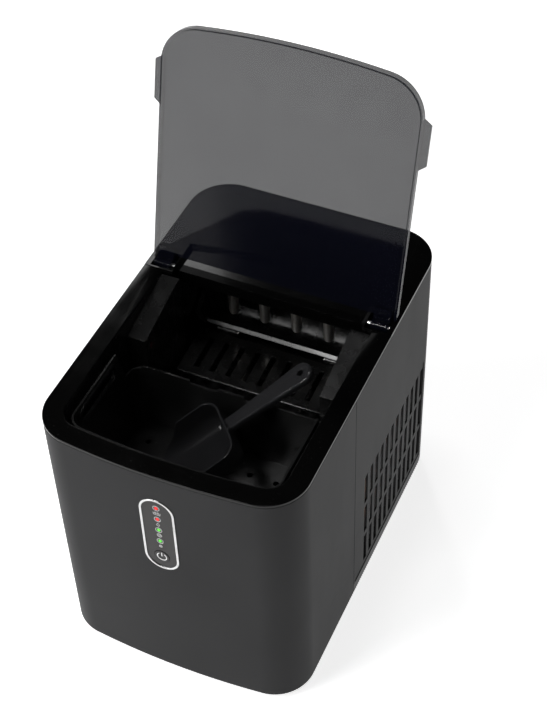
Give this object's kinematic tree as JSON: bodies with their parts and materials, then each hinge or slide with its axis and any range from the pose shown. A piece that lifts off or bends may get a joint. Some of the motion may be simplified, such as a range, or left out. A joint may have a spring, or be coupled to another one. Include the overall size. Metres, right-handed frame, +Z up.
{
  "type": "countertop ice maker",
  "caption": "Countertop ice maker with an open see-through lid, ice basket, scoop, freezing fingers over a tipping water tray, control panel and vented sides.",
  "frame": {"origin": "on the worktop, under the middle of the body", "axes": "+X to the right seen from the front, +Y to the back, +Z up"},
  "size_m": [0.2332, 0.3356, 0.4746],
  "materials": {
    "shell_satin": "satin dark grey paint",
    "rim_gloss": "gloss black",
    "smoke_lid": "smoky see-through plastic",
    "interior_black": "moulded black, half gloss",
    "basket_smoke": "moulded dark plastic",
    "scoop_smoke": "moulded dark plastic",
    "base_black": "fine grain black",
    "foot_rubber": "matt rubber",
    "plated_steel": "nickel-plated",
    "pin_steel": "ground pin",
    "copper": "drawn copper tube",
    "fin_aluminium": "thin sheet",
    "compressor_paint": "black enamel",
    "sheet_steel": "zinc-plated sheet",
    "screw_steel": "dark zinc",
    "foam": "closed-cell foam",
    "hose_silicone": "soft silicone",
    "motor_grey": "moulded grey",
    "valve_brass": "machined brass",
    "panel_chrome": "bright plated",
    "panel_black": "dark film",
    "led_red": "lit red",
    "led_green": "lit green",
    "board_green": "circuit board",
    "switch_black": "moulded",
    "sensor_lens": "dark red lens",
    "white_plastic": "moulded white"
  },
  "bodies": {
    "housing": {"back_panel": "shell_satin", "back_panel_screws": "screw_steel", "base_plate": "base_black", "compressor": "compressor_paint", "compressor_base": "sheet_steel", "condenser_fins": "fin_aluminium", "condenser_tube": "copper", "control_board": "board_green", "cord_gland": "base_black", "discharge_line": "copper", "display_board": "board_green", "drain_spout": "white_plastic", "evaporator_bracket": "interior_black", "evaporator_tube": "plated_steel", "fan_frame": "base_black", "fan_motor": "motor_grey", "feed_line": "copper", "filter_drier": "copper", "foot_front_left": "foot_rubber", "foot_front_right": "foot_rubber", "foot_rear_left": "foot_rubber", "foot_rear_right": "foot_rubber", "freezing_fingers": "plated_steel", "front_shell": "shell_satin", "hot_gas_valve": "valve_brass", "ice_sensor_emitter": "sensor_lens", "ice_sensor_receiver": "sensor_lens", "left_sensor_rail": "interior_black", "left_side_panel": "shell_satin", "left_tray_bush": "white_plastic", "lid_hinge_pins": "pin_steel", "mount_bolts": "screw_steel", "panel_plate": "panel_black", "panel_ring": "panel_chrome", "power_switch": "switch_black", "pump_body": "motor_grey", "ready_leds": "led_green", "rear_cover": "rim_gloss", "right_sensor_rail": "interior_black", "right_side_panel": "shell_satin", "right_tray_bush": "white_plastic", "rubber_mounts": "foot_rubber", "suction_line": "copper", "tank_insulation": "foam", "top_frame": "rim_gloss", "tray_gear_motor": "motor_grey", "warning_leds": "led_red", "water_hose": "hose_silicone", "water_nozzle": "white_plastic", "water_tank": "interior_black"},
    "lid": {"lid_panel": "smoke_lid"},
    "basket": {"ice_basket": "basket_smoke"},
    "scoop": {"scoop": "scoop_smoke"},
    "tray": {"water_tray": "interior_black", "flap_hinge_pins": "pin_steel"},
    "flap": {"ice_flap": "interior_black"},
    "fan": {"fan_rotor": "switch_black"},
    "impeller": {"pump_impeller": "white_plastic"},
    "power_button": {"power_button": "panel_black"},
    "drain_plug": {"drain_plug": "foot_rubber"}
  },
  "joints": [
    {"name": "lid_hinge", "type": "hinge", "parent": "housing", "child": "lid", "pos_m": [0, 0.05, 0.263], "axis": [-1, 0, 0], "range_deg": [-104, 0]},
    {"name": "basket_lift", "type": "slide", "parent": "housing", "child": "basket", "axis": [0, 0, 1], "range_m": [0, 0.13]},
    {"name": "scoop_lift", "type": "slide", "parent": "basket", "child": "scoop", "axis": [0, 0, 1], "range_m": [0, 0.12]},
    {"name": "tray_tilt", "type": "hinge", "parent": "housing", "child": "tray", "pos_m": [0, 0.118, 0.232], "axis": [1, 0, 0], "range_deg": [-40, 0]},
    {"name": "ice_flap_hinge", "type": "hinge", "parent": "tray", "child": "flap", "pos_m": [0, 0.06854, 0.18267], "axis": [1, 0, 0], "range_deg": [0, 88]},
    {"name": "fan_spin", "type": "hinge", "parent": "housing", "child": "fan", "pos_m": [0.068, 0.066, 0.088], "axis": [1, 0, 0], "continuous": true},
    {"name": "impeller_spin", "type": "hinge", "parent": "housing", "child": "impeller", "pos_m": [-0.074, 0.014, 0.05], "axis": [0, 0, 1], "continuous": true},
    {"name": "power_button_press", "type": "slide", "parent": "housing", "child": "power_button", "axis": [0, 1, 0], "range_m": [0, 0.0008], "stiffness_N_per_m": 300, "springref_m": -0.0005},
    {"name": "drain_plug_pull", "type": "slide", "parent": "housing", "child": "drain_plug", "axis": [0, 1, 0], "range_m": [0, 0.03]}
  ],
  "couplings": [
    {"joint": "ice_flap_hinge", "follows": "tray_tilt", "ratio": -2.2}
  ]
}
